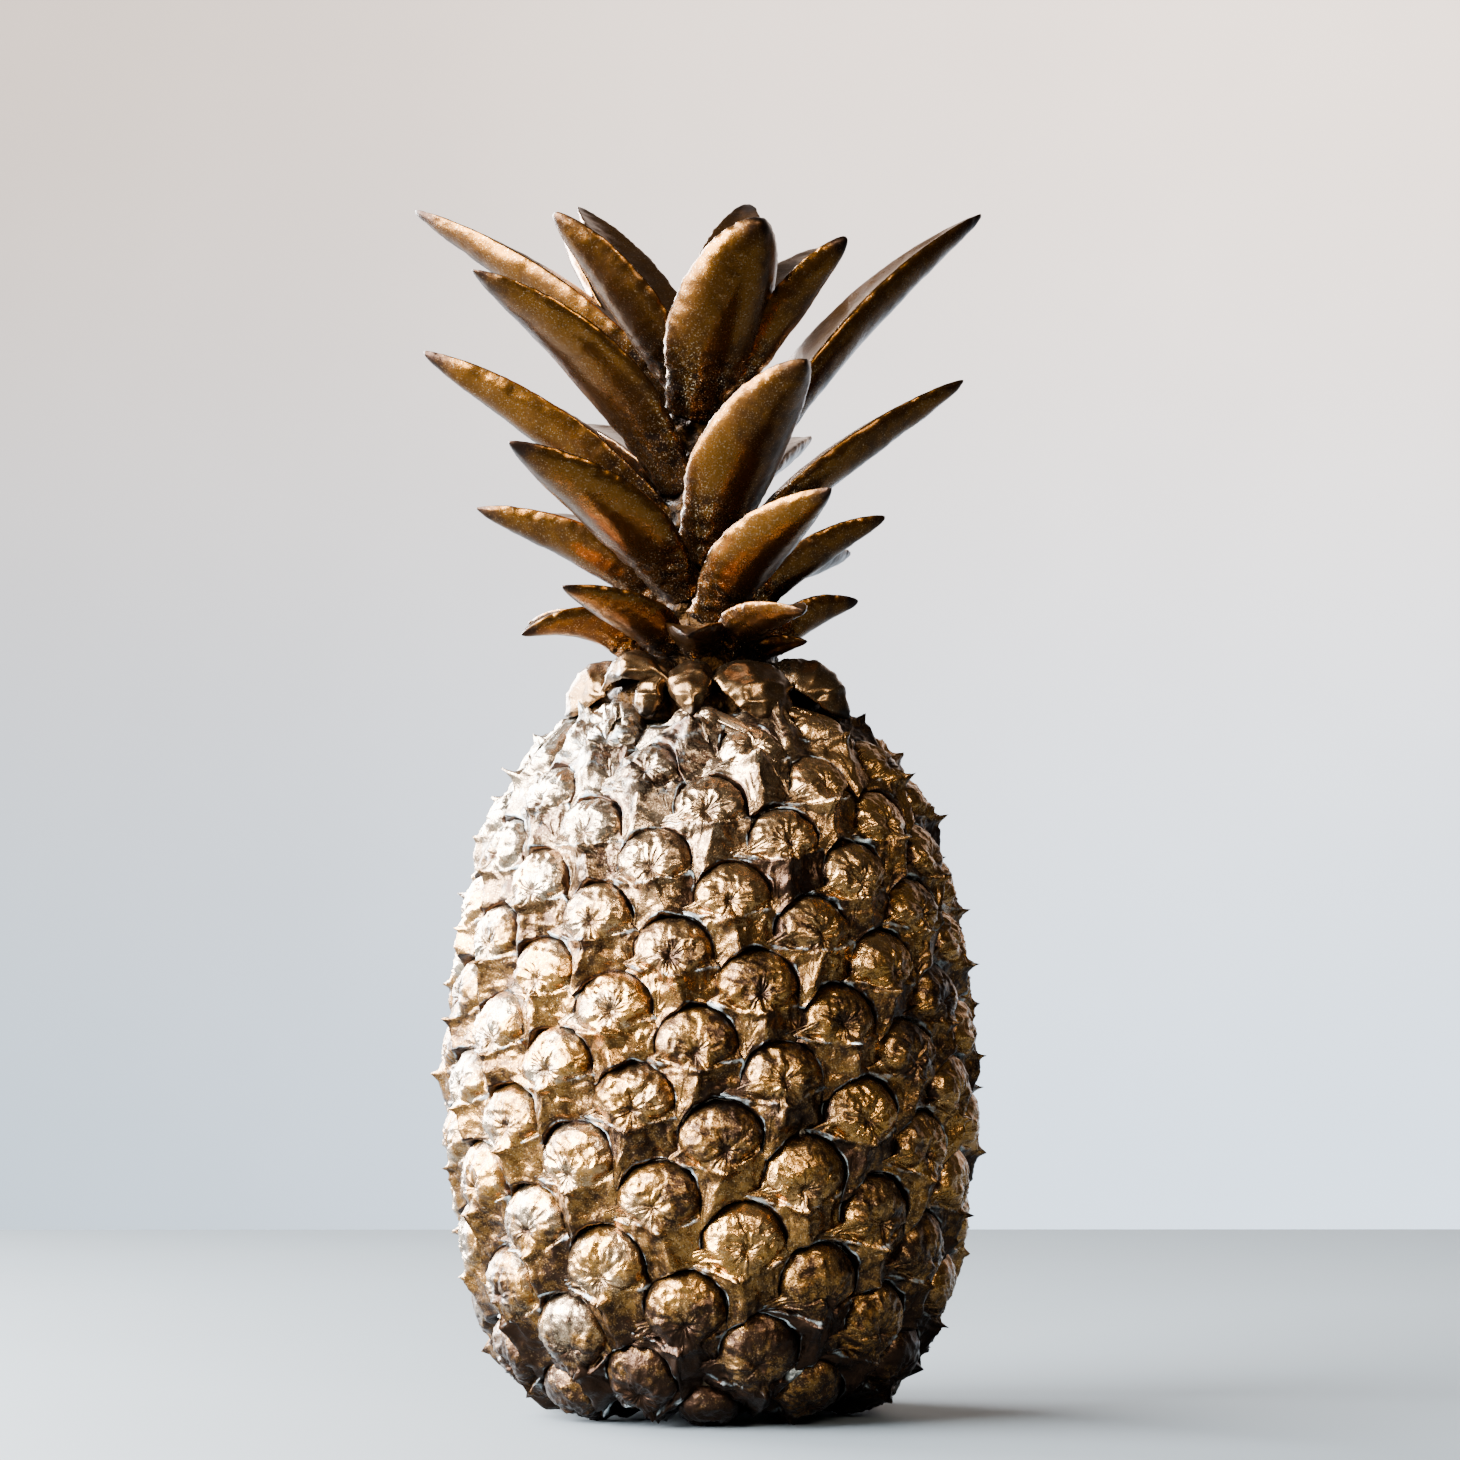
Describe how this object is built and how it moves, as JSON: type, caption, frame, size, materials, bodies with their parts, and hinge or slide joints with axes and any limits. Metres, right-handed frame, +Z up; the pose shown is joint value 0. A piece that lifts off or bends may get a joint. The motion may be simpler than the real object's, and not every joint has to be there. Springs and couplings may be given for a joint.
{
  "type": "pineapple ornament",
  "caption": "Free-standing cast ornament shaped like a whole pineapple, with a domed fruitlet body, a crown of stiff arched leaves and a flat base to rest on.",
  "frame": {"origin": "centre of the flat base, on the surface that it stands on", "axes": "+Z up the fruit's axis to the crown, -Y to the front, +X to the right seen from the front"},
  "size_m": [0.1425, 0.133, 0.3045],
  "materials": {
    "antique_gold": "satin",
    "dark_bronze": "matte",
    "leaf_bronze": "satin",
    "dusty_bronze": "satin"
  },
  "bodies": {
    "root": {"fruit_body": "antique_gold", "crown_stem": "dark_bronze", "leaf_top_left_outer": "leaf_bronze", "leaf_top_left_broad": "leaf_bronze", "leaf_top_left_upright": "leaf_bronze", "leaf_top_left_rear": "leaf_bronze", "leaf_top_rear_left": "leaf_bronze", "leaf_top_front": "leaf_bronze", "leaf_top_rear": "leaf_bronze", "leaf_top_rear_right": "leaf_bronze", "leaf_top_right_upright": "leaf_bronze", "leaf_top_right_outer": "leaf_bronze", "leaf_mid_front_right": "leaf_bronze", "leaf_mid_right": "leaf_bronze", "leaf_mid_rear_right": "leaf_bronze", "leaf_mid_left": "leaf_bronze", "leaf_mid_rear_left": "leaf_bronze", "leaf_mid_front_left": "leaf_bronze", "leaf_mid_left_rear": "leaf_bronze", "leaf_mid_rear": "leaf_bronze", "leaf_low_left": "leaf_bronze", "leaf_low_front_right": "leaf_bronze", "leaf_low_right": "leaf_bronze", "leaf_low_rear_right": "leaf_bronze", "leaf_low_rear": "leaf_bronze", "leaf_low_rear_left": "leaf_bronze", "collar_leaf_front_left": "leaf_bronze", "collar_leaf_left": "leaf_bronze", "collar_leaf_front_right": "leaf_bronze", "collar_leaf_right": "leaf_bronze", "collar_leaf_right_small": "leaf_bronze", "collar_leaf_front": "leaf_bronze", "collar_leaf_rear_right": "leaf_bronze", "collar_leaf_rear": "leaf_bronze", "collar_leaf_rear_left": "leaf_bronze", "collar_leaf_left_rear": "leaf_bronze", "hood_bract_01": "dusty_bronze", "hood_bract_02": "dusty_bronze", "hood_bract_03": "dusty_bronze", "hood_bract_04": "dusty_bronze", "hood_bract_05": "dusty_bronze", "hood_bract_06": "dusty_bronze", "hood_bract_07": "dusty_bronze", "hood_bract_08": "dusty_bronze", "hood_bract_09": "dusty_bronze", "hood_bract_10": "dusty_bronze", "hood_bract_11": "dusty_bronze"}
  },
  "joints": []
}
